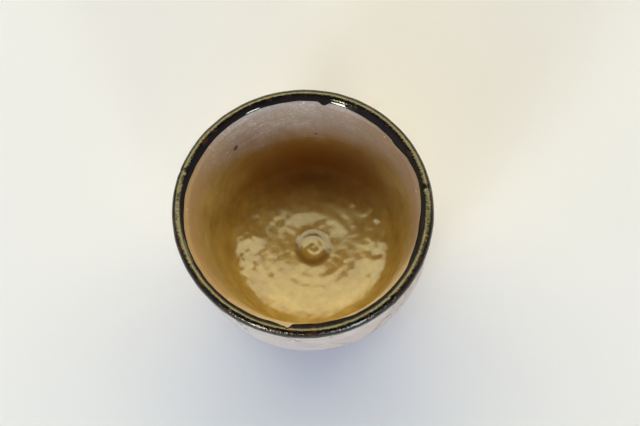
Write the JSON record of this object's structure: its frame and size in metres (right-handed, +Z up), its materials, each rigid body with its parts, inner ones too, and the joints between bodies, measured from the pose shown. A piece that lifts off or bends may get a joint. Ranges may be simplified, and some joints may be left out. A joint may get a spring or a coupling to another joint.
{
  "type": "sake cup",
  "caption": "Small round stoneware cup for drinking sake: a deep tapered bowl on a foot ring, with a dark iron-glazed lip, pale glaze outside and amber glaze inside.",
  "frame": {"origin": "centre of the foot ring's resting face, on the table", "axes": "+Z up through the mouth, -Y the side nearest the camera in the picture, +X to the right of that side"},
  "size_m": [0.0644, 0.0644, 0.0472],
  "materials": {
    "clay": "bare fired stoneware, matt, sandy, warm brown",
    "slip": "fired clay slip, matt",
    "beige_glaze": "thin satin beige glaze with fine sand and throwing lines",
    "amber_glaze": "glossy amber glaze, thicker towards the floor",
    "pale_glaze": "pale grey satin glaze with faint iron brush strokes",
    "iron_glaze": "glossy brown-black iron glaze, breaking to rust at its edges"
  },
  "bodies": {
    "root": {"clay_body": "clay", "foot_ring": "clay", "foot_luting_slip": "slip", "inner_glaze": "beige_glaze", "pool_glaze": "amber_glaze", "outer_glaze": "pale_glaze", "rim_iron_glaze": "iron_glaze"}
  },
  "joints": []
}
